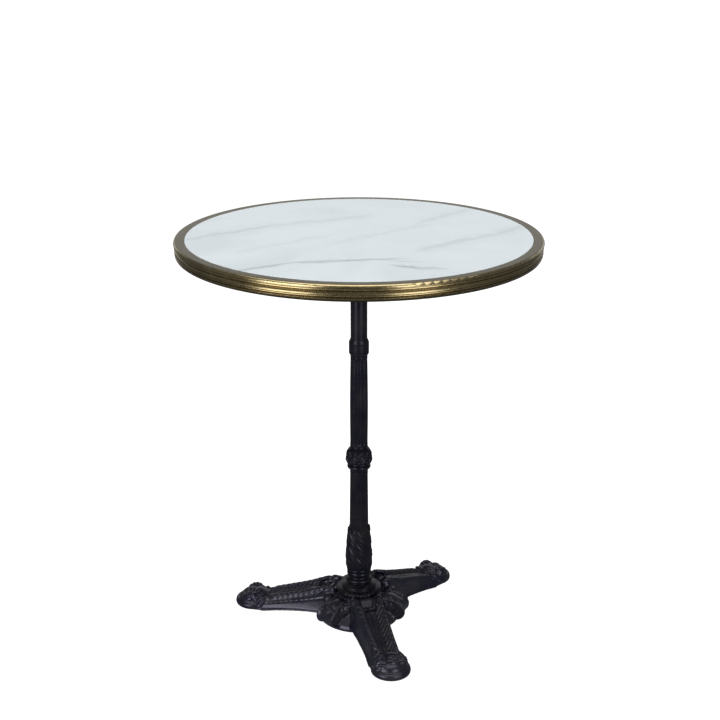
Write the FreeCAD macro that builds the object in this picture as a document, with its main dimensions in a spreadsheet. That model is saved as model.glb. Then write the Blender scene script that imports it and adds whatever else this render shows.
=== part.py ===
"""Bistro table: a brass-edged stone top on a fluted cast-iron column and a three-legged foot.

Millimetres, +Z up. The origin is on the floor, under the middle of the table.
The legs point to 30, 150 and 270 degrees, so one of them comes straight forward, along -Y.
"""
import FreeCAD, Part
import math
import os
import Sketcher
from FreeCAD import Vector

os.makedirs("parts", exist_ok=True)
doc = FreeCAD.newDocument("bistro_table")


# ---------------------------------------------------------------- driving sizes

SIZES = [
    # the whole table
    ("table_height", 720), ("top_radius", 310), ("legs", 3), ("first_leg_angle", 30),
    # top: brass edge, board and slab
    ("rim_height", 27), ("rim_lip_width", 18), ("rim_wall", 1.5), ("rim_foot_width", 11),
    ("slab_radius", 291.7), ("slab_thickness", 10), ("slab_arris", 0.6),
    ("board_radius", 306), ("board_thickness", 15.5), ("board_hole_radius", 17),
    # tie rod and its nuts
    ("rod_radius", 6), ("rod_hole_radius", 6.8), ("rod_bottom", 14), ("rod_top", 708.5),
    ("nut_width", 19), ("nut_height", 10), ("washer_radius", 15), ("washer_height", 2.5),
    # top spider
    ("spider_reach", 130), ("spider_arm_width", 30), ("spider_tip_width", 22), ("spider_thickness", 5),
    ("spider_hub_radius", 38), ("spider_boss_radius", 21), ("spider_boss_depth", 24),
    ("spider_socket_depth", 15), ("spider_rib_height", 12), ("spider_rib_thickness", 6),
    ("screw_radius", 2.5), ("screw_head_radius", 4.8), ("screw_head_height", 2.4),
    ("screw_length", 14), ("screw_hole_radius", 2.8), ("screw_inner_place", 103), ("screw_outer_place", 120),
    # column
    ("column_bore", 9), ("spigot_radius", 12), ("spigot_height", 5), ("spigot_gap", 0.15),
    ("neck_radius", 14.5), ("neck_bore", 12), ("neck_bottom", 514),
    ("collar_radius", 17.5), ("collar_bottom", 508), ("collar_top", 538), ("collar_bevel", 5.5),
    ("upper_bottom", 342), ("upper_foot_radius", 15.3), ("upper_belly_radius", 15.8),
    ("upper_head_radius", 14.5), ("upper_belly_height", 66),
    ("knop_bottom", 292), ("knop_radius", 23.9), ("knop_waist", 19.4), ("knop_ring_radius", 20.8),
    ("lower_bottom", 97), ("lower_head_radius", 15.6), ("lower_foot_radius", 16.8),
    ("vase_top", 184), ("vase_shoulder", 19.6), ("vase_radius", 24.5), ("vase_neck", 22.3),
    ("disc_bottom", 55), ("disc_radius", 42), ("disc_height", 9), ("seat_radius", 37),
    # foot casting
    ("hub_radius", 41), ("hub_skirt_radius", 66), ("hub_bottom", 10), ("casting_wall", 6),
    ("hub_plate", 10), ("rod_boss_radius", 19), ("rod_boss_bottom", 30),
    ("toe_reach", 201), ("toe_radius", 33), ("sole_height", 9), ("floor_gap", 2),
    ("scroll_radius", 16.5), ("scroll_middle", 21), ("scroll_width", 50),
    ("console_reach", 77), ("console_middle", 34), ("console_radius", 16), ("console_width", 42),
    ("console_bottom", 14),
    # levelling feet
    ("stud_radius", 4), ("stud_clearance", 0.06), ("stud_top", 26), ("stud_hole_top", 30),
    ("stud_bottom", 2.8), ("pad_radius", 15), ("pad_height", 5), ("pad_recess_radius", 16.5),
    ("pad_recess_height", 6), ("pad_socket_floor", 2.5), ("leveller_reach", 203),
]

# leg stations: distance from the column, crest height, lower edge, half width above and below
STATIONS = [
    (30, 50, 10, 19, 37),
    (47, 66, 10, 19, 36),
    (66, 62, 10, 19, 34),
    (95, 50, 8, 18.5, 31),
    (125, 41, 6, 18, 29),
    (155, 32, 3.5, 17.5, 30),
    (182, 26, 2, 19, 32),
    (201, 26, 2, 20, 33),
]
STATION_WORDS = ("reach", "crest", "edge", "crown", "skirt")

# brass edge: distance in from the outside and height above its foot, from the shoulder to the band
RIM_BEADS = [
    (0, 22.7),      # end of the shoulder
    (1.9, 21.7),
    (1.9, 20.7),    # upper bead
    (1.9, 17.3),
    (2.3, 16.4),
    (1.0, 15.5),    # hollow between the beads
    (1.3, 11.0),
    (2.4, 10.4),    # lower bead
    (2.4, 7.2),
    (2.8, 6.4),
    (1.6, 5.6),     # lower band
]

# knop: what is added to or taken from its widest radius, and height above its foot
KNOP_BULGE = [(-0.6, 20), (-0.6, 31.5), (-4.4, 40)]

# column foot: radius and height above its seat, from the top of the disc to below the vase
FOOT_STEPS = [(31, 13), (31, 18), (27.5, 20), (25.2, 24), (26.6, 28), (24.2, 33)]
LETTERS = "abcdefgh"
HOLLOW_LETTERS = "abcdef"


def write_sheet():
    """Puts every driving size in the sheet, with its name as the alias."""
    sheet = doc.addObject("Spreadsheet::Sheet", "Sizes")
    rows = list(SIZES)
    for number, station in enumerate(STATIONS):
        rows += [("leg_%s_%s" % (word, LETTERS[number]), value)
                 for word, value in zip(STATION_WORDS, station)]
    for row, (alias, value) in enumerate(rows, start=1):
        sheet.set("A%d" % row, alias.replace("_", " "))
        sheet.set("B%d" % row, str(value))
        sheet.setAlias("B%d" % row, alias)
    doc.recompute()
    return sheet


sheet = write_sheet()


# ---------------------------------------------------------------- shared ways of building

def value_of(expression):
    """The number that an expression on the sheet gives now."""
    return float(sheet.evalExpression(expression))


def new_body(label):
    body = doc.addObject("PartDesign::Body", label)
    body.Label = label
    return body


def plane_of(body, role):
    return next(item for item in body.Origin.OriginFeatures if item.Role == role)


def new_sketch(body, plane, name, offset=None):
    """A sketch on one of the body's origin planes, moved along its normal by an expression."""
    sketch = body.newObject("Sketcher::SketchObject", name)
    sketch.AttachmentSupport = [(plane_of(body, plane), "")]
    sketch.MapMode = "FlatFace"
    if offset is not None:
        sketch.setExpression("AttachmentOffset.Base.z", offset)
    return sketch


def bind(sketch, constraint, expression):
    number = sketch.addConstraint(constraint)
    sketch.setExpression("Constraints[%d]" % number, expression)


def add_outline(sketch, corners, rounds=None):
    """A closed outline. Each corner is a pair of expressions, and rounds gives, for the side that
    starts at a corner, the radius of its arc and the side to which it bulges: 1 is to the right."""
    rounds = rounds or {}
    spots = [Vector(value_of(x), value_of(y), 0) for x, y in corners]
    count = len(spots)
    first_end, last_end = [], []
    for number, start in enumerate(spots):
        end = spots[(number + 1) % count]
        turned_round = False
        if number in rounds:
            radius, side = value_of(rounds[number][0]), rounds[number][1]
            chord = end - start
            sagitta = radius - math.sqrt(max(radius ** 2 - (chord.Length / 2) ** 2, 0))
            normal = Vector(chord.y, -chord.x, 0).normalize()
            middle = (start + end) / 2 + normal * sagitta * side
            turned_round = side < 0
            low, high = (end, start) if turned_round else (start, end)
            sketch.addGeometry(Part.Arc(low, middle, high), False)
        else:
            sketch.addGeometry(Part.LineSegment(start, end), False)
        first_end.append(2 if turned_round else 1)
        last_end.append(1 if turned_round else 2)
    for number in range(count):
        following = (number + 1) % count
        sketch.addConstraint(Sketcher.Constraint(
            "Coincident", number, last_end[number], following, first_end[following]))
    for number, (x, y) in enumerate(corners):
        point = first_end[number]
        bind(sketch, Sketcher.Constraint("DistanceX", -1, 1, number, point, spots[number].x), x)
        bind(sketch, Sketcher.Constraint("DistanceY", -1, 1, number, point, spots[number].y), y)
    for number, (radius, side) in rounds.items():
        bind(sketch, Sketcher.Constraint("Radius", number, value_of(radius)), radius)


def add_circle(sketch, x, y, radius):
    centre = Vector(value_of(x), value_of(y), 0)
    number = sketch.addGeometry(Part.Circle(centre, Vector(0, 0, 1), value_of(radius)), False)
    bind(sketch, Sketcher.Constraint("DistanceX", -1, 1, number, 3, centre.x), x)
    bind(sketch, Sketcher.Constraint("DistanceY", -1, 1, number, 3, centre.y), y)
    bind(sketch, Sketcher.Constraint("Radius", number, value_of(radius)), radius)


def revolve(body, name, corners, rounds=None, kind="PartDesign::Revolution"):
    """Turns an outline of radii and heights about the body's own Z axis."""
    sketch = new_sketch(body, "XZ_Plane", name + "_outline")
    add_outline(sketch, corners, rounds)
    feature = body.newObject(kind, name)
    feature.Profile = sketch
    feature.ReferenceAxis = (sketch, ["V_Axis"])
    feature.Angle = 360
    sketch.Visibility = False
    doc.recompute()
    return feature


def pad(body, name, sketch, length, midplane=False, reverse=False):
    feature = body.newObject("PartDesign::Pad", name)
    feature.Profile = sketch
    feature.setExpression("Length", length)
    feature.Midplane = midplane
    feature.Reversed = reverse
    sketch.Visibility = False
    doc.recompute()
    return feature


def pocket(body, name, sketch, length, reverse=False):
    """Cuts a pocket, and makes sure that it has removed something."""
    before = body.Shape.Volume
    feature = body.newObject("PartDesign::Pocket", name)
    feature.Profile = sketch
    feature.setExpression("Length", length)
    feature.Reversed = reverse
    sketch.Visibility = False
    doc.recompute()
    if not body.Shape.Volume < before - 1e-3:
        raise RuntimeError("%s cuts nothing" % name)
    return feature


def polar(body, name, features, count, axis="Z_Axis"):
    """Repeats features round the body's Z axis."""
    pattern = body.newObject("PartDesign::PolarPattern", name)
    pattern.Originals = features
    pattern.Axis = (plane_of(body, axis), [""])
    pattern.Angle = 360
    pattern.setExpression("Occurrences", count)
    body.Tip = pattern
    doc.recompute()
    return pattern


def turned(label, corners, rounds=None):
    """A sub-part that is one turned or round-cast piece on the table's axis."""
    body = new_body(label)
    revolve(body, label + "_turning", corners, rounds)
    return body


# ---------------------------------------------------------------- the top

TOP = "Sizes.table_height"
RIM_FOOT = "(Sizes.table_height - Sizes.rim_height)"
BOARD_FOOT = "(Sizes.table_height - Sizes.slab_thickness - Sizes.board_thickness)"


def build_marble_slab():
    """Round stone slab, flush with the brass lip, with a small arris round its upper edge."""
    foot = "Sizes.table_height - Sizes.slab_thickness"
    return turned("marble_slab", [
        ("0", foot),
        ("Sizes.slab_radius", foot),
        ("Sizes.slab_radius", TOP + " - Sizes.slab_arris"),
        ("Sizes.slab_radius - Sizes.slab_arris", TOP),
        ("0", TOP),
    ])


def build_brass_rim():
    """Drawn brass edge: a flat lip on top, a rounded shoulder, two beads with a hollow between
    them, a lower band that curves under, and a return that holds the board from below."""
    rim = "Sizes.top_radius - %s"
    lip_edge = "Sizes.top_radius - Sizes.rim_lip_width"
    inner_wall = "Sizes.board_radius + 0.2"
    return_edge = rim % "(Sizes.rim_foot_width + 3)"
    under_lip = TOP + " - Sizes.rim_wall"
    return_top = RIM_FOOT + " + Sizes.rim_wall - 0.1"
    corners = [(lip_edge, TOP), (rim % 4.4, TOP)]
    corners += [(rim % inset, "%s + %s" % (RIM_FOOT, height)) for inset, height in RIM_BEADS]
    corners += [
        (rim % 5.2, RIM_FOOT),
        (return_edge, RIM_FOOT),
        (return_edge, return_top),
        (inner_wall, return_top),
        (inner_wall, under_lip),
        (lip_edge, under_lip),
    ]
    rounds = {
        1: ("4.5", -1),      # shoulder
        4: ("1.9", -1),      # upper bead
        7: ("9.0", 1),       # hollow between the beads
        9: ("1.75", -1),     # lower bead
        12: ("6.2", -1),     # lower band
    }
    return turned("brass_rim", corners, rounds)


def build_core_board():
    """Board under the slab, rebated to hold it, with the hole for the rod's nut and screw pilots."""
    body = turned("core_board", [
        ("Sizes.board_hole_radius", BOARD_FOOT),
        ("Sizes.board_radius", BOARD_FOOT),
        ("Sizes.board_radius", TOP + " - Sizes.rim_wall - 0.1"),
        ("Sizes.slab_radius + 0.2", TOP + " - Sizes.rim_wall - 0.1"),
        ("Sizes.slab_radius + 0.2", TOP + " - Sizes.slab_thickness"),
        ("Sizes.board_hole_radius", TOP + " - Sizes.slab_thickness"),
    ])
    sketch = new_sketch(body, "XY_Plane", "pilot_circles", BOARD_FOOT)
    for place in ("Sizes.screw_inner_place", "Sizes.screw_outer_place"):
        add_circle(sketch, place, "0", "Sizes.screw_radius + 0.05")
    drilled = pocket(body, "pilots", sketch, "Sizes.screw_length", reverse=True)
    polar(body, "pilots_round", [drilled], "4")
    return body


def build_top_spider():
    """Cast cross that carries the top: four tapering arms with a rib under each, a hub, and a boss
    with the socket for the neck tube. Each arm has two screw holes near its tip."""
    body = new_body("top_spider")
    under = BOARD_FOOT + " - Sizes.spider_thickness"
    boss_foot = BOARD_FOOT + " - Sizes.spider_boss_depth"
    revolve(body, "spider_hub", [
        ("Sizes.rod_hole_radius", BOARD_FOOT),
        ("Sizes.spider_hub_radius", BOARD_FOOT),
        ("Sizes.spider_hub_radius", under),
        ("Sizes.spider_boss_radius + 3", under + " - 2"),
        ("Sizes.spider_boss_radius", under + " - 6"),
        ("Sizes.spider_boss_radius", boss_foot + " + 1"),
        ("Sizes.spider_boss_radius - 1", boss_foot),
        ("Sizes.neck_radius + 0.1", boss_foot),
        ("Sizes.neck_radius + 0.1", boss_foot + " + Sizes.spider_socket_depth"),
        ("Sizes.rod_hole_radius", boss_foot + " + Sizes.spider_socket_depth"),
    ])
    outline = new_sketch(body, "XY_Plane", "arm_outline", BOARD_FOOT)
    add_outline(outline, [
        ("Sizes.spider_boss_radius", "-Sizes.spider_arm_width / 2"),
        ("Sizes.spider_reach - 6", "-Sizes.spider_tip_width / 2"),
        ("Sizes.spider_reach", "-Sizes.spider_tip_width / 2 + 6"),
        ("Sizes.spider_reach", "Sizes.spider_tip_width / 2 - 6"),
        ("Sizes.spider_reach - 6", "Sizes.spider_tip_width / 2"),
        ("Sizes.spider_boss_radius", "Sizes.spider_arm_width / 2"),
    ], {1: ("6", 1), 3: ("6", 1)})
    arm = pad(body, "arm", outline, "Sizes.spider_thickness", reverse=True)
    outline = new_sketch(body, "XZ_Plane", "rib_outline")
    add_outline(outline, [
        ("Sizes.spider_boss_radius - 2", under + " + 1"),
        ("Sizes.spider_boss_radius - 2", under + " - Sizes.spider_rib_height"),
        ("Sizes.screw_inner_place - 8", under),
        ("Sizes.screw_inner_place - 8", under + " + 1"),
    ])
    rib = pad(body, "rib", outline, "Sizes.spider_rib_thickness", midplane=True)
    circles = new_sketch(body, "XY_Plane", "screw_circles", BOARD_FOOT)
    for place in ("Sizes.screw_inner_place", "Sizes.screw_outer_place"):
        add_circle(circles, place, "0", "Sizes.screw_hole_radius")
    holes = pocket(body, "screw_holes", circles, "Sizes.spider_thickness")
    polar(body, "arms_round", [arm, rib, holes], "4")
    return body


def build_spider_screws():
    """The wood screws that hold the top on the spider, as a group of separate solids."""
    body_list = []
    under = value_of(BOARD_FOOT + " - Sizes.spider_thickness")
    head_radius, head_height = sheet.screw_head_radius, sheet.screw_head_height
    radius, length = sheet.screw_radius, sheet.screw_length
    spot = Vector(0, 0, under - head_height)
    head = Part.makeCylinder(head_radius, head_height, spot)
    head = head.makeFillet(1.2, [head.Edges[2]])
    shank_length = head_height + sheet.spider_thickness + length - 2.5
    shank = Part.makeCylinder(radius, shank_length - 4, spot)
    tip = Part.makeCone(radius, 0.4, 4, spot + Vector(0, 0, shank_length - 4))
    slot = Part.makeBox(2 * head_radius + 1, 1.2, 1.1, spot - Vector(head_radius + 0.5, 0.6, 0))
    screw = head.fuse([shank, tip]).removeSplitter().cut(slot)
    for place in (sheet.screw_inner_place, sheet.screw_outer_place):
        for arm in range(4):
            copy = screw.copy()
            copy.translate(Vector(place, 0, 0))
            copy.rotate(Vector(0, 0, 0), Vector(0, 0, 1), 90 * arm)
            body_list.append(copy)
    screws = doc.addObject("Part::Feature", "spider_screws")
    screws.Label = "spider_screws"
    screws.Shape = Part.makeCompound(body_list)
    return screws


# ---------------------------------------------------------------- rod, nuts and washers

def cylinder(name, radius, height, foot):
    """A plain cylinder on the axis, from a height, with all its sizes bound to the sheet."""
    solid = doc.addObject("Part::Cylinder", name)
    solid.setExpression("Radius", radius)
    solid.setExpression("Height", height)
    solid.setExpression("Placement.Base.z", foot)
    return solid


def bored(label, solid, radius, height, foot):
    """A solid with a round hole down the table's axis."""
    hole = cylinder(label + "_hole", radius, height + " + 2", foot + " - 1")
    cut = doc.addObject("Part::Cut", label)
    cut.Base = solid
    cut.Tool = hole
    cut.Label = label
    return cut


def build_tie_rod():
    """The long threaded rod that pulls the top, the column and the foot together."""
    rod = cylinder("rod_blank", "Sizes.rod_radius", "Sizes.rod_top - Sizes.rod_bottom", "Sizes.rod_bottom")
    doc.recompute()
    chamfer = doc.addObject("Part::Chamfer", "tie_rod")
    chamfer.Base = rod
    rims = [number for number, edge in enumerate(rod.Shape.Edges, start=1) if edge.Closed]
    chamfer.Edges = [(number, 1.0, 1.0) for number in rims]
    chamfer.Label = "tie_rod"
    return chamfer


def build_washer(label, foot):
    blank = cylinder(label + "_blank", "Sizes.washer_radius", "Sizes.washer_height", foot)
    return bored(label, blank, "Sizes.rod_radius + 0.4", "Sizes.washer_height", foot)


def build_nut(label, foot):
    """A hexagon nut: a six-sided prism with its corners rounded off by a cone-ended cylinder."""
    prism = doc.addObject("Part::Prism", label + "_prism")
    prism.Polygon = 6
    prism.setExpression("Circumradius", "Sizes.nut_width / sqrt(3)")
    prism.setExpression("Height", "Sizes.nut_height")
    prism.setExpression("Placement.Base.z", foot)
    barrel = cylinder(label + "_barrel", "Sizes.nut_width / 2 + 1", "Sizes.nut_height", foot)
    doc.recompute()
    soft = doc.addObject("Part::Chamfer", label + "_soft")
    soft.Base = barrel
    rims = [number for number, edge in enumerate(barrel.Shape.Edges, start=1) if edge.Closed]
    soft.Edges = [(number, 0.8, 1.4) for number in rims]
    common = doc.addObject("Part::Common", label + "_hexagon")
    common.Base = prism
    common.Tool = soft
    return bored(label, common, "Sizes.rod_radius + 0.05", "Sizes.nut_height", foot)


# ---------------------------------------------------------------- the column

def build_neck_tube():
    """Plain steel tube between the collar and the spider."""
    head = BOARD_FOOT + " - Sizes.spider_boss_depth + Sizes.spider_socket_depth - 0.2"
    return turned("neck_tube", [
        ("Sizes.neck_bore", "Sizes.neck_bottom + 0.2"),
        ("Sizes.neck_radius", "Sizes.neck_bottom + 0.2"),
        ("Sizes.neck_radius", head),
        ("Sizes.neck_bore", head),
    ])


def socket(foot):
    """The corners of the recess in a column piece's foot, which takes the spigot below it."""
    return [
        ("Sizes.column_bore", foot + " + Sizes.spigot_height + Sizes.spigot_gap"),
        ("Sizes.spigot_radius + Sizes.spigot_gap", foot + " + Sizes.spigot_height + Sizes.spigot_gap"),
        ("Sizes.spigot_radius + Sizes.spigot_gap", foot),
    ]


def spigot(head):
    """The corners of the short spigot on a column piece's head."""
    return [
        ("Sizes.spigot_radius", head),
        ("Sizes.spigot_radius", head + " + Sizes.spigot_height"),
        ("Sizes.column_bore", head + " + Sizes.spigot_height"),
    ]


def build_column_collar():
    """Plain collar with bevelled ends and a fine line near each end; the neck tube stands in it."""
    foot = "Sizes.collar_bottom"
    head = "Sizes.collar_top"
    r = "Sizes.collar_radius"
    return turned("column_collar", [
        ("Sizes.spigot_radius + Sizes.spigot_gap", foot),
        (r + " - 2.8", foot),
        (r, foot + " + Sizes.collar_bevel - 0.5"),
        (r, foot + " + 7.4"),
        (r + " - 0.7", foot + " + 7.9"),
        (r, foot + " + 8.4"),
        (r, head + " - 8.4"),
        (r + " - 0.7", head + " - 7.9"),
        (r, head + " - 7.4"),
        (r, head + " - Sizes.collar_bevel"),
        ("Sizes.neck_radius + 0.8", head),
        ("Sizes.neck_radius + 0.1", head),
        ("Sizes.neck_radius + 0.1", "Sizes.neck_bottom"),
        ("Sizes.spigot_radius + Sizes.spigot_gap", "Sizes.neck_bottom"),
    ])


def build_column_upper():
    """Upper shaft of the column, slightly swollen between its foot and its head."""
    foot = "Sizes.upper_bottom"
    head = "Sizes.collar_bottom"
    return turned("column_upper", socket(foot) + [
        ("Sizes.upper_foot_radius", foot),
        ("Sizes.upper_belly_radius", foot + " + Sizes.upper_belly_height"),
        ("Sizes.upper_head_radius", head),
    ] + spigot(head))


def build_column_knop():
    """Ringed knop between the two shafts."""
    foot = "Sizes.knop_bottom"
    z = foot + " + "
    return turned("column_knop", socket(foot) + [
        ("Sizes.lower_head_radius + 0.4", foot),
        ("Sizes.knop_waist", z + "4.5"),
        ("Sizes.knop_ring_radius", z + "6"),
        ("Sizes.knop_ring_radius", z + "11.5"),
        ("Sizes.knop_waist", z + "13"),
        ("Sizes.knop_waist + 0.4", z + "16.5"),
    ] + [("Sizes.knop_radius + %s" % extra, z + str(height)) for extra, height in KNOP_BULGE] + [
        ("Sizes.upper_foot_radius + 0.6", z + "45"),
        ("Sizes.upper_foot_radius + 0.2", "Sizes.upper_bottom"),
    ] + spigot("Sizes.upper_bottom"), {9: ("28", 1), 10: ("13", 1)})


def build_column_lower():
    """Lower shaft and vase, cast in one."""
    foot = "Sizes.lower_bottom"
    head = "Sizes.knop_bottom"
    return turned("column_lower", socket(foot) + [
        ("Sizes.vase_neck", foot),
        ("Sizes.vase_neck", foot + " + 8"),
        ("Sizes.vase_radius - 0.4", foot + " + 13"),
        ("Sizes.vase_radius - 0.2", foot + " + 34"),
        ("Sizes.vase_shoulder + 0.6", "Sizes.vase_top - 16"),
        ("Sizes.vase_shoulder", "Sizes.vase_top - 4"),
        ("Sizes.lower_foot_radius + 0.5", "Sizes.vase_top"),
        ("Sizes.lower_foot_radius", "Sizes.vase_top + 2"),
        ("Sizes.lower_head_radius", head),
    ] + spigot(head), {5: ("140", 1)})


def build_column_foot():
    """Stepped rings under the column, spreading to a round disc that sits on the foot casting."""
    foot = "Sizes.disc_bottom"
    z = foot + " + "
    head = "Sizes.lower_bottom"
    return turned("column_foot", [
        ("Sizes.column_bore", foot),
        ("Sizes.seat_radius", foot),
        ("Sizes.disc_radius - 1.5", foot + " + 0.5"),
        ("Sizes.disc_radius", z + "3"),
        ("Sizes.disc_radius - 1", z + "7"),
        ("Sizes.disc_radius - 5", z + "Sizes.disc_height"),
    ] + [(str(radius), z + str(height)) for radius, height in FOOT_STEPS] + [
        ("23.6", head + " - 6"),
        ("23.6", head),
    ] + spigot(head), {6: ("14", -1), 7: ("2.9", 1), 10: ("3.4", 1)})


# ---------------------------------------------------------------- the foot casting

def leg_size(word, letter):
    return "Sizes.leg_%s_%s" % (word, letter)


def leg_section(body, letter):
    """A leg's outer cross-section at one station: flared sides under a flat crest."""
    skirt, crown = leg_size("skirt", letter), leg_size("crown", letter)
    crest, edge = leg_size("crest", letter), leg_size("edge", letter)
    rise = "(%s + (%s - %s) * 0.35)" % (edge, crest, edge)
    sketch = new_sketch(body, "YZ_Plane", "leg_section_" + letter, leg_size("reach", letter))
    add_outline(sketch, [
        ("-1 * " + skirt, edge),
        (skirt, edge),
        (skirt + " - 1.5", rise),
        (crown, crest + " - 2"),
        (crown + " - 3", crest),
        ("3 - " + crown, crest),
        ("-1 * " + crown, crest + " - 2"),
        ("1.5 - " + skirt, rise),
    ])
    return sketch


def hollow_section(body, letter):
    """The hollow under a leg at one station, a wall thickness inside the leg. Under the column's
    seat the hollow stays below the hub's plate."""
    wall = "Sizes.casting_wall"
    if letter in "ab":
        roof = "Sizes.disc_bottom - Sizes.hub_plate"
    else:
        roof = "%s - %s" % (leg_size("crest", letter), wall)
    foot = "%s - 1" % leg_size("edge", letter)
    sketch = new_sketch(body, "YZ_Plane", "hollow_section_" + letter, leg_size("reach", letter))
    add_outline(sketch, [
        ("%s - %s" % (wall, leg_size("skirt", letter)), foot),
        ("%s - %s" % (leg_size("skirt", letter), wall), foot),
        ("%s - %s" % (leg_size("crown", letter), wall), roof),
        ("%s - %s" % (wall, leg_size("crown", letter)), roof),
    ])
    return sketch


def loft(body, kind, name, sketches, ruled):
    feature = body.newObject(kind, name)
    feature.Profile = sketches[0]
    feature.Sections = sketches[1:]
    feature.Ruled = ruled
    for sketch in sketches:
        sketch.Visibility = False
    doc.recompute()
    return feature


def build_base_casting():
    """Three-legged iron casting, hollow underneath. Each leg runs down in a flat-topped ridge to a
    rolled scroll on a round sole, and a rolled console stands between each pair of legs."""
    body = new_body("base_casting")
    body.setExpression("Placement.Rotation.Angle", "Sizes.first_leg_angle")
    seat = "Sizes.disc_bottom"
    revolve(body, "hub", [
        ("Sizes.rod_hole_radius", "Sizes.rod_boss_bottom"),
        ("Sizes.rod_boss_radius", "Sizes.rod_boss_bottom"),
        ("Sizes.rod_boss_radius", seat + " - Sizes.hub_plate"),
        ("Sizes.hub_radius - Sizes.casting_wall", seat + " - Sizes.hub_plate"),
        ("Sizes.hub_skirt_radius - Sizes.casting_wall", "Sizes.hub_bottom"),
        ("Sizes.hub_skirt_radius", "Sizes.hub_bottom"),
        ("Sizes.hub_skirt_radius - 2", "Sizes.hub_bottom + 12"),
        ("Sizes.hub_radius + 5", seat + " - 8"),
        ("Sizes.hub_radius", seat),
        ("Sizes.rod_hole_radius", seat),
    ])
    leg = loft(body, "PartDesign::AdditiveLoft", "leg",
               [leg_section(body, letter) for letter in LETTERS], False)

    circle = new_sketch(body, "XY_Plane", "sole_circle", "Sizes.floor_gap")
    add_circle(circle, "Sizes.toe_reach", "0", "Sizes.toe_radius")
    sole = pad(body, "sole", circle, "Sizes.sole_height")

    circle = new_sketch(body, "XZ_Plane", "scroll_circle")
    add_circle(circle, "Sizes.leveller_reach", "Sizes.scroll_middle", "Sizes.scroll_radius")
    scroll = pad(body, "scroll", circle, "Sizes.scroll_width", midplane=True)

    middle, height = "-1 * Sizes.console_reach", "Sizes.console_middle"
    radius = "Sizes.console_radius"
    outline = new_sketch(body, "XZ_Plane", "console_outline")
    add_outline(outline, [
        ("-1 * Sizes.hub_radius + 6", "Sizes.console_bottom"),
        ("-1 * Sizes.hub_radius + 6", seat + " - 6"),
        (middle, height + " + " + radius),
        (middle + " - " + radius, height),
        (middle, height + " - " + radius),
        (middle + " + 14", "Sizes.console_bottom"),
    ], {2: (radius + " + 0.01", -1), 3: (radius + " + 0.01", -1)})
    console = pad(body, "console", outline, "Sizes.console_width", midplane=True)

    hollow = loft(body, "PartDesign::SubtractiveLoft", "hollow",
                  [hollow_section(body, letter) for letter in HOLLOW_LETTERS], True)

    circle = new_sketch(body, "XY_Plane", "pad_recess_circle", "Sizes.floor_gap")
    add_circle(circle, "Sizes.leveller_reach", "0", "Sizes.pad_recess_radius")
    recess = pocket(body, "pad_recess", circle, "Sizes.pad_recess_height", reverse=True)

    circle = new_sketch(body, "XY_Plane", "stud_hole_circle", "Sizes.floor_gap")
    add_circle(circle, "Sizes.leveller_reach", "0", "Sizes.stud_radius + Sizes.stud_clearance")
    hole = pocket(body, "stud_hole", circle, "Sizes.stud_hole_top - Sizes.floor_gap", reverse=True)

    polar(body, "legs_round", [leg, sole, scroll, console, hollow, recess, hole], "Sizes.legs")

    circle = new_sketch(body, "XY_Plane", "seat_circle", "Sizes.disc_bottom")
    add_circle(circle, "0", "0", "Sizes.disc_radius + 1")
    pocket(body, "seat", circle, "Sizes.leg_crest_b", reverse=True)

    groove = revolve(body, "under_hub", [
        ("Sizes.rod_boss_radius", "0"),
        ("Sizes.hub_skirt_radius - Sizes.casting_wall", "0"),
        ("Sizes.hub_skirt_radius - Sizes.casting_wall", "Sizes.hub_bottom"),
        ("Sizes.hub_radius - Sizes.casting_wall", seat + " - Sizes.hub_plate"),
        ("Sizes.rod_boss_radius", seat + " - Sizes.hub_plate"),
    ], kind="PartDesign::Groove")
    body.Tip = groove
    return body


# ---------------------------------------------------------------- levelling feet

def place_on_leg(body, number):
    """Moves a sub-part from the axis out to the leveller's place under one leg."""
    angle = "(Sizes.first_leg_angle + %d * 360 / Sizes.legs)" % number
    body.setExpression("Placement.Base.x", "Sizes.leveller_reach * cos(%s)" % angle)
    body.setExpression("Placement.Base.y", "Sizes.leveller_reach * sin(%s)" % angle)


def build_leveller_pad(number):
    """Round nylon pad on the floor, with the socket in which the stud turns."""
    body = turned("leveller_pad_%d" % (number + 1), [
        ("0", "0"),
        ("Sizes.pad_radius - 1", "0"),
        ("Sizes.pad_radius", "1"),
        ("Sizes.pad_radius", "Sizes.pad_height - 1.5"),
        ("Sizes.pad_radius - 1.5", "Sizes.pad_height"),
        ("Sizes.stud_radius + Sizes.stud_clearance", "Sizes.pad_height"),
        ("Sizes.stud_radius + Sizes.stud_clearance", "Sizes.pad_socket_floor"),
        ("0", "Sizes.pad_socket_floor"),
    ])
    place_on_leg(body, number)
    return body


def build_leveller_stud(number):
    """Threaded stud that screws up into the toe, with a bevelled end."""
    body = turned("leveller_stud_%d" % (number + 1), [
        ("0", "Sizes.stud_bottom"),
        ("Sizes.stud_radius - 0.6", "Sizes.stud_bottom"),
        ("Sizes.stud_radius", "Sizes.stud_bottom + 0.6"),
        ("Sizes.stud_radius", "Sizes.stud_top - 1"),
        ("Sizes.stud_radius - 1", "Sizes.stud_top"),
        ("0", "Sizes.stud_top"),
    ])
    place_on_leg(body, number)
    return body


# ---------------------------------------------------------------- making and writing

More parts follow.
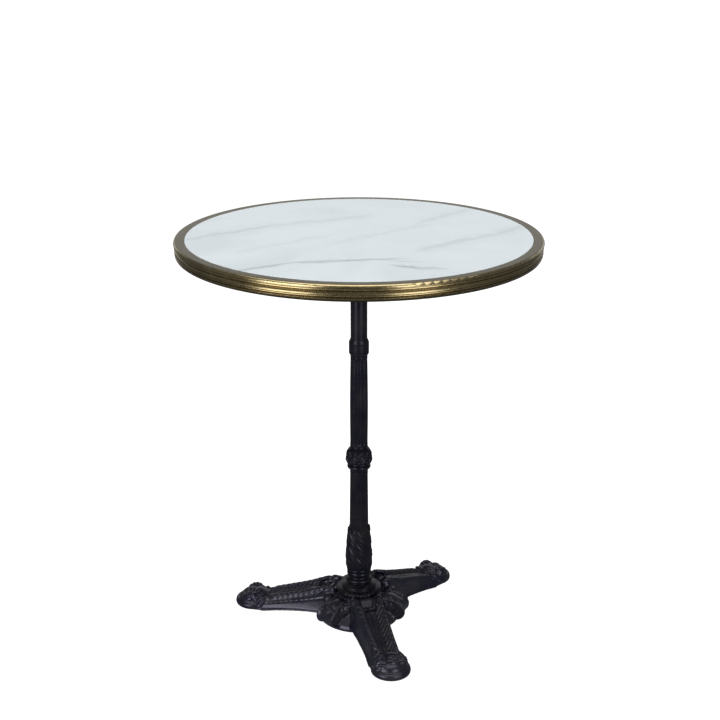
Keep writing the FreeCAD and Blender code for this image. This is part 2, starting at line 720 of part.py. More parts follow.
BOSS_WASHER_FOOT = "(Sizes.rod_boss_bottom - Sizes.washer_height)"
nodes = [
    build_base_casting(),
    build_washer("bottom_washer", BOSS_WASHER_FOOT),
    build_nut("bottom_nut", "(%s - Sizes.nut_height)" % BOSS_WASHER_FOOT),
    build_tie_rod(),
    build_column_foot(),
    build_column_lower(),
    build_column_knop(),
    build_column_upper(),
    build_column_collar(),
    build_neck_tube(),
    build_top_spider(),
    build_washer("top_washer", BOARD_FOOT),
    build_nut("top_nut", "(%s + Sizes.washer_height)" % BOARD_FOOT),
    build_spider_screws(),
    build_core_board(),
    build_marble_slab(),
    build_brass_rim(),
]
for leg_number in range(int(sheet.legs)):
    nodes.append(build_leveller_pad(leg_number))
    nodes.append(build_leveller_stud(leg_number))
doc.recompute()

for item in doc.Objects:
    if "Invalid" in item.State or "Error" in item.State:
        raise RuntimeError("%s: %s" % (item.Label, item.State))
for node in nodes:
    if node.Shape.isNull() or not node.Shape.isValid():
        raise RuntimeError("%s has no valid shape" % node.Label)
for node in nodes:
    node.Shape.exportStep("parts/%s.step" % node.Label)
    print("%-18s solids %d, %.0f cubic mm" % (node.Label, len(node.Shape.Solids), node.Shape.Volume))
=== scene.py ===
import bpy
import bmesh
import math
from mathutils import Matrix, Vector


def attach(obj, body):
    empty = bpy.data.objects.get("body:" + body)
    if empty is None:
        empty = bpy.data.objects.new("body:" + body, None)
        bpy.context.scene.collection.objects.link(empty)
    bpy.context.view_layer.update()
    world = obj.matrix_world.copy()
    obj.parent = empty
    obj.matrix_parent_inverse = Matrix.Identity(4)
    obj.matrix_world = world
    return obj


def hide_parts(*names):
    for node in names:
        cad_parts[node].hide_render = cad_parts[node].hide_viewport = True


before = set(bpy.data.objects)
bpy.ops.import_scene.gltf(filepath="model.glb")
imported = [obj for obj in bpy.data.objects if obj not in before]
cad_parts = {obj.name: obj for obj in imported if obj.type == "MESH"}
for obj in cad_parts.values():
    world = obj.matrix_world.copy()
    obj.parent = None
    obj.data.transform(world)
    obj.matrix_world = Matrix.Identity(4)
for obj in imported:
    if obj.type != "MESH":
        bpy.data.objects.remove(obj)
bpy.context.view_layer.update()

scene = bpy.context.scene
MM = 0.001

# ------------------------------------------------------------------ floor, lights and camera
# A pale studio floor, two tall soft lights in front, one from each side, a wide one overhead and
# a weak one behind in place of a white card. The camera stands at chest height, a little to the
# left of the front leg.

EYE = Vector((-0.5995, -2.1635, 1.2636))
EYE_TURN = -15.534
EYE_TILT = 18.81
LENS = 68.49
AIM_HEIGHT = 0.45

eye = bpy.data.cameras.new("eye")
eye.lens = LENS
eye.sensor_width = 36
eye_object = bpy.data.objects.new("eye", eye)
eye_object.location = EYE
eye_object.rotation_euler = (math.radians(90 - EYE_TILT), 0, math.radians(EYE_TURN))
scene.collection.objects.link(eye_object)
scene.camera = eye_object
scene.view_settings.view_transform = "Standard"


def softbox(name, azimuth, elevation, distance, width, height, power):
    """A soft area light that looks at the middle of the table. Its azimuth and elevation are in
    degrees, from the front leg's side; its distance and size are in metres and its power in watts."""
    lamp = bpy.data.lights.new(name, "AREA")
    lamp.shape = "RECTANGLE"
    lamp.size, lamp.size_y = width, height
    lamp.energy = power
    side, rise = math.radians(azimuth), math.radians(elevation)
    way = Vector((math.sin(side) * math.cos(rise), -math.cos(side) * math.cos(rise), math.sin(rise)))
    holder = bpy.data.objects.new(name, lamp)
    holder.location = Vector((0, 0, AIM_HEIGHT)) + way * distance
    holder.rotation_mode = "QUATERNION"
    holder.rotation_quaternion = way.to_track_quat("Z", "Y")
    holder.visible_camera = False
    scene.collection.objects.link(holder)


softbox("left_softbox", -57, 9, 2.1, 1.1, 1.6, 22)
softbox("right_softbox", 17, 9, 2.1, 0.9, 1.6, 15)
softbox("top_softbox", 0, 88, 2.4, 2.6, 2.6, 52)
softbox("back_card", 165, 14, 3.2, 5.0, 1.6, 15)

room = bpy.data.worlds.new("room")
room.use_nodes = True
room.node_tree.nodes["Background"].inputs["Color"].default_value = (0.9, 0.95, 1.0, 1)
room.node_tree.nodes["Background"].inputs["Strength"].default_value = 0.12
scene.world = room


class Value:
    """A shader socket on which ordinary arithmetic builds Math nodes."""

    def __init__(self, finish, socket):
        self.finish, self.socket = finish, socket

    def sum(self, operation, other):
        return self.finish.node("ShaderNodeMath", {"operation": operation}, {0: self, 1: other})

    def __add__(self, other):
        return self.sum("ADD", other)

    def __sub__(self, other):
        return self.sum("SUBTRACT", other)

    def __mul__(self, other):
        return self.sum("MULTIPLY", other)


class Finish:
    """A material and the nodes that make it."""

    def __init__(self, name):
        self.material = bpy.data.materials.new(name)
        self.material.use_nodes = True
        self.tree = self.material.node_tree
        self.shader = self.tree.nodes["Principled BSDF"]
        self.place = self.node("ShaderNodeTexCoord", {}, {}, "Object")

    def node(self, kind, settings, inputs, output=0):
        """Adds one node, with its settings and then its inputs, and gives one of its outputs."""
        made = self.tree.nodes.new(kind)
        for key, value in settings.items():
            setattr(made, key, value)
        for key, value in inputs.items():
            self.put(made.inputs[key], value)
        return Value(self, made.outputs[output])

    def put(self, socket, value):
        """Links or sets one input socket."""
        if isinstance(value, Value):
            self.tree.links.new(value.socket, socket)
        elif isinstance(value, tuple) and len(value) == 3 and socket.type == "RGBA":
            socket.default_value = (*value, 1)
        else:
            socket.default_value = value

    def noise(self, scale, detail=2.0, roughness=0.5, distortion=0.0):
        """Cloudy noise over the piece, with about so many waves in a metre."""
        return self.node("ShaderNodeTexNoise", {}, {
            "Vector": self.place, "Scale": scale, "Detail": detail,
            "Roughness": roughness, "Distortion": distortion})

    def band(self, value, low, high, first=0.0, last=1.0):
        """Runs from first to last as the value goes from low to high, smoothly."""
        return self.node("ShaderNodeMapRange", {"interpolation_type": "SMOOTHSTEP"}, {
            "Value": value, "From Min": low, "From Max": high, "To Min": first, "To Max": last})

    def blend(self, mask, first, second):
        """Colours mixed by a mask: the first where it is 0, the second where it is 1."""
        return self.node("ShaderNodeMix", {"data_type": "RGBA"}, {0: mask, 6: first, 7: second}, 2)

    def bump(self, height, depth, under=None):
        """Fine relief of a depth in metres, over another relief where one is given."""
        inputs = {"Height": height, "Strength": 1.0, "Distance": depth}
        if under is not None:
            inputs["Normal"] = under
        return self.node("ShaderNodeBump", {}, inputs)

    def surface(self, **sockets):
        """Fills the shader's sockets; an underscore in a name stands for a space."""
        for key, value in sockets.items():
            self.put(self.shader.inputs[key.replace("_", " ")], value)
        return self.material


# the floor is lit evenly, and isn't mirrored in the paint and the brass
FLOOR_HALF = 40
floor_paint = Finish("floor_paint")
floor_paint.surface(Base_Color=(0.42, 0.42, 0.42), Roughness=0.9,
                    Emission_Color=(1.0, 1.0, 1.0), Emission_Strength=1.0)
floor_mesh = bmesh.new()
bmesh.ops.create_grid(floor_mesh, x_segments=1, y_segments=1, size=FLOOR_HALF)
floor_data = bpy.data.meshes.new("floor")
floor_mesh.to_mesh(floor_data)
floor_data.materials.append(floor_paint.material)
floor = bpy.data.objects.new("floor", floor_data)
floor.visible_glossy = False
scene.collection.objects.link(floor)

# ------------------------------------------------------------------ foot casting
# One piece of grey iron, cast in sand and painted satin black. Three low legs with two rows of
# teardrops along each crest run out to rolled toes, and a rolled console stands between each pair.

# directions in degrees; from here on lengths are in millimetres
LEG_TURNS = (30, 150, 270)
CONSOLE_TURNS = (90, 210, 330)
WALL = 5
LEG_PITCH = 4
TOE = 203
SOLE_ROOF = 8.6
VOXEL = 1.4
# distance from the column, height of the crest, lower edge, half width of crest and of skirt
LEG = (
    (38, 57, 12, 26, 36),
    (52, 62, 14, 26.5, 35),
    (66, 59, 14, 26.5, 34),
    (95, 48, 13, 26, 32.5),
    (125, 39, 10, 25, 31),
    (155, 30.5, 6, 24, 30.5),
    (176, 24.5, 3, 24, 32),
    (196, 23.5, 2, 24.5, 32.6),
)


def along(table, place, column):
    """A smooth value between the rows of a table, by a Catmull-Rom curve through them."""
    rows = len(table)
    index = max(number for number in range(rows - 1) if number == 0 or table[number][0] <= place)
    before, start = table[max(index - 1, 0)], table[index]
    end, after = table[index + 1], table[min(index + 2, rows - 1)]
    step = (place - start[0]) / (end[0] - start[0])
    step = min(max(step, 0), 1)
    a, b, c, d = before[column], start[column], end[column], after[column]
    return 0.5 * (2 * b + (c - a) * step + (2 * a - 5 * b + 4 * c - d) * step ** 2
                  + (3 * b - a - 3 * c + d) * step ** 3)


def ring_of(mesh, points):
    """A closed loop of edges through points given in millimetres."""
    corners = [mesh.verts.new(Vector(point) * MM) for point in points]
    return [mesh.edges.new((corners[number - 1], corners[number])) for number in range(len(corners))]


def skin(mesh, rings):
    """Joins closed loops one after another and fills the two ends."""
    loops = [ring_of(mesh, ring) for ring in rings]
    for first, second in zip(loops, loops[1:]):
        bmesh.ops.bridge_loops(mesh, edges=first + second)
    for end in (loops[0], loops[-1]):
        bmesh.ops.contextual_create(mesh, geom=end)


def turned(mesh, outline, place=(0, 0, 0), axis=(0, 0, 1), steps=96):
    """Spins a closed outline about an axis through a place. The outline gives radii on +X and
    distances along the axis, in millimetres."""
    start, along_axis = Vector(place), Vector(axis)
    edges = ring_of(mesh, [start + Vector((radius, 0, 0)) + along_axis * rise for radius, rise in outline])
    corners = list({corner for edge in edges for corner in edge.verts})
    bmesh.ops.spin(mesh, geom=edges + corners, cent=start * MM, axis=along_axis, angle=math.tau,
                   steps=steps, use_merge=True)


def ball(mesh, place, size, turn=0, tilt=0, detail=2, base=None):
    """An ellipsoid with half sizes in millimetres, turned about Z and then tilted about its side.
    It ends in a flat underside at the height of its base, where one is given."""
    matrix = (Matrix.Translation(Vector(place) * MM) @ Matrix.Rotation(math.radians(turn), 4, "Z")
              @ Matrix.Rotation(math.radians(tilt), 4, "Y") @ Matrix.Diagonal((*(Vector(size) * MM), 1)))
    made = bmesh.ops.create_icosphere(mesh, subdivisions=detail, radius=1, matrix=matrix)
    if base is not None:
        for corner in made["verts"]:
            corner.co.z = max(corner.co.z, base * MM)


class Ridges:
    """Raised lines on a casting: tubes that swell and taper along smooth curves."""

    def __init__(self):
        self.data = bpy.data.curves.new("ridges", "CURVE")
        self.data.dimensions = "3D"
        self.data.bevel_depth = MM
        self.data.bevel_resolution = 2
        self.data.resolution_u = 6
        self.data.use_fill_caps = True

    def line(self, points, radii):
        """A line through points in millimetres, with its half thickness at each."""
        spline = self.data.splines.new("NURBS")
        spline.points.add(len(points) - 1)
        for control, point, radius in zip(spline.points, points, radii):
            control.co = (*(Vector(point) * MM), 1)
            control.radius = radius
        spline.use_endpoint_u = True
        spline.order_u = 3

    def volute(self, centre, start, turn, radius, coil, thick):
        """A spiral on an upright face that looks sideways. It starts at an angle in degrees and
        winds in from one radius to the other."""
        steps = int(abs(turn) / 26) + 2
        spots, sizes = [], []
        for step in range(steps):
            part = step / (steps - 1)
            angle = math.radians(start + turn * part)
            reach = radius + (coil - radius) * part
            spots.append((centre[0] + reach * math.cos(angle), centre[1],
                          centre[2] + reach * math.sin(angle)))
            sizes.append(thick * (1 - 0.35 * part))
        self.line(spots, sizes)

    def add_to(self, mesh):
        """Adds all the lines to a mesh, as closed tubes."""
        holder = bpy.data.objects.new("ridges", self.data)
        made = bpy.data.meshes.new_from_object(holder)
        mesh.from_mesh(made)
        bpy.data.objects.remove(holder)
        bpy.data.meshes.remove(made)


def crest(place):
    """Height of a leg's crest at a distance from the column."""
    return along(LEG, place, 1)


def eased(value, low, high):
    """Runs smoothly from 0 to 1 as the value goes from low to high."""
    step = min(max((value - low) / (high - low), 0), 1)
    return step * step * (3 - 2 * step)


def valley(place):
    """Height of the band between the two rows: it drops under the keystone panel near the hub."""
    panel = 57 - 12 * eased(place, 42, 60)
    mix = eased(place, 62, 96)
    return panel * (1 - mix) + (crest(place) - 3.6) * mix


def leg_ring(place):
    """The section of a leg: an upside-down channel with flared sides and a sunken crest."""
    top, edge = crest(place), along(LEG, place, 2)
    crown, skirt = along(LEG, place, 3), along(LEG, place, 4)
    low = valley(place)
    half = []
    for step in range(8):
        down = 1 - step / 7
        half.append((crown + (skirt - crown) * down ** 1.6, edge + (top - 5 - edge) * (1 - down)))
    half += [(crown - 0.6, top - 2.4), (crown - 3, top - 0.4), (crown - 6, top - 0.6)]
    half += [(crown - 9, low + (top - low) * 0.35), ((crown - 9) * 0.55, low)]
    outer = [(-side, height) for side, height in half] + [(0, low)] + [
        (side, height) for side, height in reversed(half)]
    inner = [(skirt - WALL, edge), (crown - WALL + 3, (edge + top) / 2)]
    inner += [(crown - WALL, low - WALL), (0, low - WALL)]
    inner += [(-side, height) for side, height in reversed(inner[:3])]
    return [(place, side, height) for side, height in outer + inner]


def flank(place, down, side):
    """A point on a leg's side: down is 0 under the crest and 1 at the lower edge."""
    top, edge = crest(place) - 5, along(LEG, place, 2)
    crown, skirt = along(LEG, place, 3), along(LEG, place, 4)
    return (place, side * (crown + (skirt - crown) * down ** 1.6), edge + (top - edge) * (1 - down))


TEARDROPS = 10
TEARDROP_PITCH = 10.2


def build_leg(mesh, lines):
    """One leg on +X, from the hub to its toe."""
    skin(mesh, [leg_ring(LEG[0][0] + LEG_PITCH * step) for step in range(40)])
    for side in (-1, 1):
        # the row of teardrops: each starts on the shoulder and slants inwards, towards the toe
        for number in range(TEARDROPS):
            place = 70 + TEARDROP_PITCH * number
            shrink = 1 - 0.2 * number / TEARDROPS
            width = along(LEG, place, 3)
            lines.line([(place - 8, side * (width - 1.5), crest(place - 8) - 1.5),
                        (place - 1, side * (width - 4.5), crest(place - 1) + 1.0 * shrink),
                        (place + 7, side * (width - 11), crest(place + 7) - 0.6),
                        (place + 15, side * (width - 18), valley(place + 15) - 0.6)],
                       [1.4 * shrink, 3.8 * shrink, 3.8 * shrink, 1.2])
            # the strokes that hang from the row down the side
            lines.line([(place - 7, side * (width - 1.0), crest(place - 7) - 3),
                        flank(place + 1, 0.08, side), flank(place + 9, 0.26, side)],
                       [1.8 * shrink, 2.7 * shrink, 1.0])
        # raised lines along the side, above the plain lower part
        for down, thick in ((0.34, 1.2), (0.96, 1.8)):
            spots = [flank(place, down, side) for place in range(60, 188, 12)]
            lines.line(spots, [thick] * len(spots))
        # scroll that closes the upper line near the toe
        lines.line([flank(176, 0.34, side), flank(184, 0.2, side), flank(186, 0.0, side)], [1.2, 1.7, 1.2])
        # keystone panel by the hub: a raised bar each side of it
        lines.line([(42, side * 17, 59.5), (50, side * 14.5, 55.5), (60, side * 11, 47)], [1.7, 2.0, 1.9])
        lines.line([(44, side * 21, 60), (52, side * 18.5, 58), (64, side * 15, 52)], [1.6, 2.2, 2.0])
        # shoulder leaves beside the panel
        ball(mesh, (50, side * 24, 57), (12, 6, 8.5), turn=side * 14, tilt=8)
        ball(mesh, (62, side * 21, 58), (9, 4.5, 6), turn=side * 22, tilt=14)
    lines.line([(60.5, -12, 46), (61, 0, 46.6), (60.5, 12, 46)], [1.5, 1.5, 1.5])
    # centre leaf down the band
    lines.line([(64, 0, valley(64)), (90, 0, valley(90)), (125, 0, valley(125)), (165, 0, valley(165))],
               [1.4, 2.2, 2.0, 1.2])


def dome(reach, side):
    """Height of the toe's rounded back above a point of it."""
    inside = 1 - ((reach - 204) / 26.5) ** 2 - (side / 29) ** 2
    return 11 + 18 * math.sqrt(max(inside, 0))


# angle in degrees, reach and half thickness of each lobe
TOE_LOBES = ((172, 15, 2.2), (144, 15.5, 2.8), (116, 15.5, 3.0),
             (88, 15.5, 2.9), (60, 16, 2.6), (33, 17.5, 2.2))


def build_toe(mesh, lines):
    """The rolled toe on +X: a round sole with a recess under it, a domed shoe, and on each side a
    volute from whose eye leaf lobes fan over the top."""
    turned(mesh, [(16.5, 2), (31.5, 2), (34, 3.4), (34.6, 7), (33.8, 11), (31, 13.6), (27, 15), (0.01, 15),
                  (0.01, 8), (16.5, 8)], (TOE, 0, 0))
    ball(mesh, (204, 0, 11), (26.5, 29, 18), detail=4, base=SOLE_ROOF)
    ball(mesh, (188, 0, 15), (18, 29, 14), detail=3, base=SOLE_ROOF)
    lines.line([(221, -22, 13.5), (229, 0, 14), (221, 22, 13.5)], [1.2, 1.7, 1.2])
    for reach, half in ((203, 10), (210.5, 13), (217.5, 15)):
        spots = [(reach - 4 * part ** 2, part * half, dome(reach, part * half) + 0.6 - 1.2 * abs(part))
                 for part in (-1, -0.6, 0, 0.6, 1)]
        lines.line(spots, [1.0, 1.9, 2.2, 1.9, 1.0])
    for side in (-1, 1):
        lines.volute((TOE, side * 26.5, 17), -40, 560, 10.5, 2.0, 2.0)
        ball(mesh, (TOE, side * 26, 17), (2.6, 2.6, 2.6))
        # lobes of the leaf, from the eye over the shoulder to the crown of the toe
        for angle, reach, thick in TOE_LOBES:
            way = math.radians(angle)
            lines.line([(TOE + 7 * math.cos(way), side * 25.5, 17 + 7 * math.sin(way)),
                        (TOE + (reach - 4) * math.cos(way), side * 23.5, 17 + (reach - 4) * math.sin(way)),
                        (TOE + reach * math.cos(way), side * 17, 15 + reach * math.sin(way)),
                        (TOE + (reach - 3) * math.cos(way), side * 9, 14 + (reach - 3) * math.sin(way))],
                       [thick * 0.6, thick, thick * 1.1, thick * 0.5])
        # back leaf that sweeps from the crest down to the sole
        lines.line([(180, side * 15, 27), (183, side * 23, 24), (188, side * 28, 16), (194, side * 30, 8)],
                   [2.2, 3.0, 2.4, 1.2])
        lines.line([(171, side * 18, 26), (175, side * 24, 21), (180, side * 28.5, 13),
                    (186, side * 30, 6)], [1.6, 2.2, 1.8, 1.0])
    ball(mesh, (193, 0, 25), (10, 17, 7), detail=3)
    lines.line([(189, -14, 25.5), (187, 0, 28.5), (189, 14, 25.5)], [2.0, 3.0, 2.0])


# radius and distance from the middle, for half of the scroll
SCROLL = ((0.01, 16.8), (6, 17), (10.4, 18), (12.6, 20), (14.6, 20.6), (16.2, 19.6), (16.8, 17.4),
          (16.2, 15.2), (15.2, 12.5), (14.6, 8), (14.4, 4))
SCROLL_REACH, SCROLL_HEIGHT = 74, 28.5


def build_console(mesh, lines):
    """A rolled console on +X: a tongue that falls from the hub into a waisted scroll with a spiral
    in each hollow end, and a curl at each upper corner."""
    ball(mesh, (54, 0, 37), (25, 24, 16), detail=4)
    ball(mesh, (66, 0, 38), (19, 15, 10), detail=4)
    ball(mesh, (59, 0, 15), (20, 25, 12), detail=4)
    other_half = [(radius, -distance) for radius, distance in reversed(SCROLL)]
    turned(mesh, list(SCROLL) + other_half, (SCROLL_REACH, 0, SCROLL_HEIGHT), (0, 1, 0))
    for side in (-1, 1):
        lines.volute((SCROLL_REACH, side * 17.8, SCROLL_HEIGHT), 80, -560, 9.4, 2.0, 1.9)
        ball(mesh, (SCROLL_REACH, side * 17.6, SCROLL_HEIGHT), (3.2, 2.6, 3.2))
        # raised edge of the tongue, from the curl into the rim of the scroll
        lines.line([(47, side * 13, 53), (58, side * 14, 51), (68, side * 17, 47.5), (78, side * 18, 44),
                    (88, side * 18, 38)], [1.6, 2.4, 2.6, 2.6, 1.6])
        # curl at the upper corner, facing up and out
        ball(mesh, (54, side * 24, 45), (10, 8.5, 9.5), detail=4)
        spots = []
        for step in range(14):
            angle = math.radians(200 - 42 * step)
            reach = 9.8 - 0.62 * step
            spots.append((54 + reach * math.cos(angle), side * (24.5 + 0.85 * reach * math.sin(angle)),
                          51.6 + 0.22 * step - 0.2 * reach * math.cos(angle)))
        lines.line(spots, [2.1 - 0.07 * step for step in range(14)])
    lines.line([(48, 0, 53.5), (60, 0, 49.5), (72, 0, 45.5)], [1.4, 2.6, 1.2])


def build_hub(mesh):
    """Bell-shaped middle of the casting, hollow below, with the flat seat for the column and a
    plain round skirt near the floor."""
    turned(mesh, [(7, 54.8), (38, 54.8), (40, 54), (42.5, 51), (47, 45), (53, 38), (59, 30), (66, 22),
                  (72, 15.5), (74.5, 11), (74.5, 7), (73, 5.6), (68, 5.6), (65, 14), (58, 22), (50, 31),
                  (42, 40), (34, 44), (19, 45), (19, 30), (7, 30)])


def fused(name, parts, voxel):
    """Joins overlapping solids into one casting with softly rounded corners."""
    data = bpy.data.meshes.new(name)
    parts.to_mesh(data)
    parts.free()
    rough = bpy.data.objects.new(name + "_pattern", data)
    scene.collection.objects.link(rough)
    remesh = rough.modifiers.new("fuse", "REMESH")
    remesh.mode = "VOXEL"
    remesh.voxel_size = voxel
    bpy.context.view_layer.update()
    graph = bpy.context.evaluated_depsgraph_get()
    made = bpy.data.meshes.new_from_object(rough.evaluated_get(graph))
    bpy.data.objects.remove(rough)
    mesh = bmesh.new()
    mesh.from_mesh(made)
    bpy.data.meshes.remove(made)
    return mesh


def piece(name, mesh, finish, node, body="table"):
    """Turns a finished mesh into a smooth-shaded piece that takes a CAD node's place."""
    data = bpy.data.meshes.new(name)
    mesh.to_mesh(data)
    mesh.free()
    data.polygons.foreach_set("use_smooth", [True] * len(data.polygons))
    data.materials.append(finish)
    made = bpy.data.objects.new(name, data)
    scene.collection.objects.link(made)
    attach(made, body)
    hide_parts(node)


def iron_paint(name, pits=0.000022, swell=0.00016, painted_light_gain=1.0, shine=0.28):
    """Satin black paint on sand-cast iron: fine pitting, slow unevenness and duller patches. The
    lightening factor is painted light: it makes a lighter copy of the paint for a piece that catches more
    light. Shine is the strength of its gloss."""
    paint = Finish(name)
    fresh = tuple(painted_light_gain * part for part in (0.0040, 0.0037, 0.0080))
    dulled = tuple(painted_light_gain * part for part in (0.0085, 0.0085, 0.0096))
    sand = paint.noise(1400, 3, 0.6)
    slow = paint.noise(160, 2)
    patch = paint.noise(28, 3)
    relief = paint.bump(sand, pits)
    relief = paint.bump(slow, swell, relief)
    return paint.surface(
        Base_Color=paint.blend(paint.band(patch, 0.35, 0.7), fresh, dulled),
        Roughness=paint.band(patch * 0.6 + sand * 0.4, 0.3, 0.75, 0.22, 0.34),
        Specular_IOR_Level=shine, Specular_Tint=(0.84, 0.82, 1.0), Normal=relief)


# painted light: the foot's paint is a lighter copy of the column's, for the brighter light the foot shows
cast_black = iron_paint("cast_black", painted_light_gain=2.1, shine=0.55)
casting = bmesh.new()
for turns, builder in ((LEG_TURNS, build_leg), (LEG_TURNS, build_toe), (CONSOLE_TURNS, build_console)):
    limb = bmesh.new()
    ridges = Ridges()
    builder(limb, ridges)
    ridges.add_to(limb)
    pattern = bpy.data.meshes.new("pattern")
    limb.to_mesh(pattern)
    limb.free()
    for turn in turns:
        first = len(casting.verts)
        casting.from_mesh(pattern)
        casting.verts.ensure_lookup_table()
        bmesh.ops.rotate(casting, verts=casting.verts[first:], cent=(0, 0, 0),
                         matrix=Matrix.Rotation(math.radians(turn), 3, "Z"))
    bpy.data.meshes.remove(pattern)
build_hub(casting)
bmesh.ops.recalc_face_normals(casting, faces=casting.faces)
piece("tripod_foot", fused("casting", casting, VOXEL * MM), cast_black, "base_casting")


def dress(node, finish):
    """Gives a CAD node a finish in all its material slots; its shape stays as it is."""
    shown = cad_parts[node]
    if not shown.material_slots:
        shown.data.materials.append(None)
    for holder in shown.material_slots:
        holder.link = "OBJECT"
        holder.material = finish


# ------------------------------------------------------------------ tie rod, nuts and washers
# Bright zinc-plated steel. A threaded rod runs the whole height of the column; a nut and a washer
# under the foot and another pair above the spider clamp everything between them.

def zinc_plate(name, thread_pitch=0.0):
    """Bright zinc: bluish grey, faintly clouded, with a screw thread's grooves where it has one."""
    plate = Finish(name)
    cloud = plate.noise(220, 3)
    relief = plate.bump(plate.noise(900, 2), 0.00004)
    if thread_pitch:
        grooves = plate.node("ShaderNodeTexWave", {"bands_direction": "Z"}, {
            "Vector": plate.place, "Scale": 0.314 / thread_pitch, "Distortion": 0.0})
        relief = plate.bump(grooves, 0.0006, relief)
    return plate.surface(
        Base_Color=plate.blend(plate.band(cloud, 0.3, 0.7), (0.52, 0.55, 0.58), (0.66, 0.68, 0.69)),
        Metallic=1.0, Roughness=plate.band(cloud, 0.3, 0.7, 0.28, 0.4), Normal=relief)


zinc = zinc_plate("zinc")
dress("tie_rod", zinc_plate("zinc_thread", 0.00175))
for clamp in ("bottom_washer", "bottom_nut", "top_washer", "top_nut"):
    dress(clamp, zinc)

# ------------------------------------------------------------------ column foot
# Turned and cast iron rings below the vase: they step out to a round disc with a beaded edge that
# beds in the seat of the foot casting.

# radius and height of the spigot on which the next piece stands, and radius of the tie rod's bore
SPIGOT = (12, 5)
SPIGOT_GAP = 0.15
BORE = 9


def wrapped(outline, around, relief):
    """A round-cast piece: a grid wrapped about the column's axis. The outline closes on itself and
    gives radius, height and how much of the relief the row takes, from 0 to 1."""
    mesh = bmesh.new()
    rows = len(outline)
    bmesh.ops.create_grid(mesh, x_segments=around, y_segments=rows, size=0.5)
    for corner in mesh.verts:
        turn = (corner.co.x + 0.5) * math.tau
        radius, height, share = outline[round((corner.co.y + 0.5) * rows) % rows]
        if share:
            radius += share * relief(turn, height)
        corner.co = Vector((radius * math.cos(turn), radius * math.sin(turn), height)) * MM
    bmesh.ops.remove_doubles(mesh, verts=mesh.verts, dist=0.005 * MM)
    bmesh.ops.recalc_face_normals(mesh, faces=mesh.faces)
    return mesh


def bead(low, high, root, swell, share=0.0, steps=10):
    """A half-round ring between two heights: root is its radius at the ends, and swell its height."""
    middle, half = (low + high) / 2, (high - low) / 2
    turns = [math.pi * step / steps for step in range(steps + 1)]
    return [(root + swell * math.sin(turn), middle - half * math.cos(turn), share) for turn in turns]


def hidden_ends(foot, head):
    """The rows of the spigot on a piece's head, of its bore and of the socket in its foot."""
    width, height = SPIGOT
    spigot = [(width, head, 0), (width, head + height, 0), (BORE, head + height, 0)]
    roof = foot + height + SPIGOT_GAP
    return spigot + [(BORE, roof, 0), (width + SPIGOT_GAP, roof, 0), (width + SPIGOT_GAP, foot, 0)]


BEADS = 26


def beaded(turn, height):
    """Round beads on the disc's edge."""
    return 0.9 * (abs(math.sin(turn * BEADS / 2)) - 0.7)


column_black = iron_paint("column_black", 0.00001, 0.00005)
disc_low, disc_high = 55, 97
rings = [(BORE, disc_low, 0), (37, disc_low, 0), (38.6, disc_low + 0.4, 0.4)]
rings += bead(disc_low + 0.8, disc_low + 8.4, 38.4, 3.0, 1.0, 10)
rings += [(37.4, 64.0, 0.3), (35.6, 64.8, 0), (33.4, 64.2, 0), (31.8, 64.6, 0), (31.0, 66, 0)]
rings += bead(66.4, 70.4, 29.6, 2.0) + [(28.4, 71, 0), (26.2, 71.9, 0), (24.2, 73.0, 0), (21.8, 73.8, 0)]
rings += bead(74.4, 82.6, 20.6, 3.4) + [(19.4, 83.2, 0), (18.2, 84.4, 0), (18.2, 85.6, 0)]
rings += bead(86.2, 96.4, 18.7, 3.1) + [(18.7, disc_high, 0)]
rings += [(12, disc_high, 0), (12, disc_high + 5, 0), (BORE, disc_high + 5, 0)]
piece("column_rings", wrapped(rings, BEADS * 12, beaded), column_black, "column_foot")

# ------------------------------------------------------------------ lower shaft and vase
# One hollow casting: a tapering shaft with shallow flutes rises out of a vase clad in twisted
# leaves, whose tips make a notched edge round the foot of the shaft.

FLUTES = 12


def fluted(turn, height, low, high, depth=1.5, round_end=5):
    """A hollow flute between sharp arrises, with rounded ends at two heights."""
    across = 2 * abs((turn * FLUTES / math.tau) % 1 - 0.5)
    end = min(max(min(height - low, high - height) / round_end, 0), 1)
    width = math.sqrt(1 - (1 - end) ** 2) * 0.86
    if width < 0.05 or across > width:
        return 0.0
    return -depth * (1 - (across / width) ** 2) ** 0.8


LEAVES = 6
LEAF_TWIST = 0.040
vase_foot, vase_top, shaft_top = disc_high, 184, 292


def leaf_edge(turn):
    """Height of the notched edge where the leaves end on the shaft."""
    across = 2 * abs((turn * LEAVES / math.tau) % 1 - 0.5)
    return vase_top - 7.0 * (1 - across) ** 1.4


def clad(turn, height):
    """Relief of the lower piece: flutes above, twisted leaf strokes and straight lobes below."""
    if height > vase_top + 3:
        return fluted(turn, height, vase_top - 8, shaft_top - 2)
    strokes = turn + LEAF_TWIST * (height - vase_foot)
    fold = abs((strokes * LEAVES / math.tau) % 1 - 0.5) * 2
    fine = abs((strokes * LEAVES * 3 / math.tau) % 1 - 0.5) * 2
    leaf = 1.5 * (fold ** 0.7) - 1.0 + 1.0 * (1 - fine ** 1.5)
    lobes = 1.3 * abs(math.sin(turn * LEAVES)) ** 0.6 - 0.9
    low = eased(height, 108, 124)
    leaf = leaf * low + lobes * (1 - low)
    leaf *= eased(height, 101, 106)
    edge = leaf_edge(turn)
    proud = eased(edge - height, -0.6, 0.6)
    lip = 0.9 * math.exp(-((edge - height - 1.6) / 1.3) ** 2)
    bare = fluted(turn, height, vase_top - 8, shaft_top - 2)
    return (leaf * eased(edge - height, 0, 6) + lip + 2.1) * proud + bare * (1 - proud)


def vase_radius(height):
    """Plain radius of the vase and shaft. The leaves stand proud of it."""
    if height < vase_top:
        swell = max((height - 118) / (vase_top - 118), 0)
        return 20.0 + 1.7 * eased(height, 98, 109) - 4.7 * swell ** 1.3
    return 17.3 - 1.2 * (height - vase_top) / (shaft_top - vase_top)


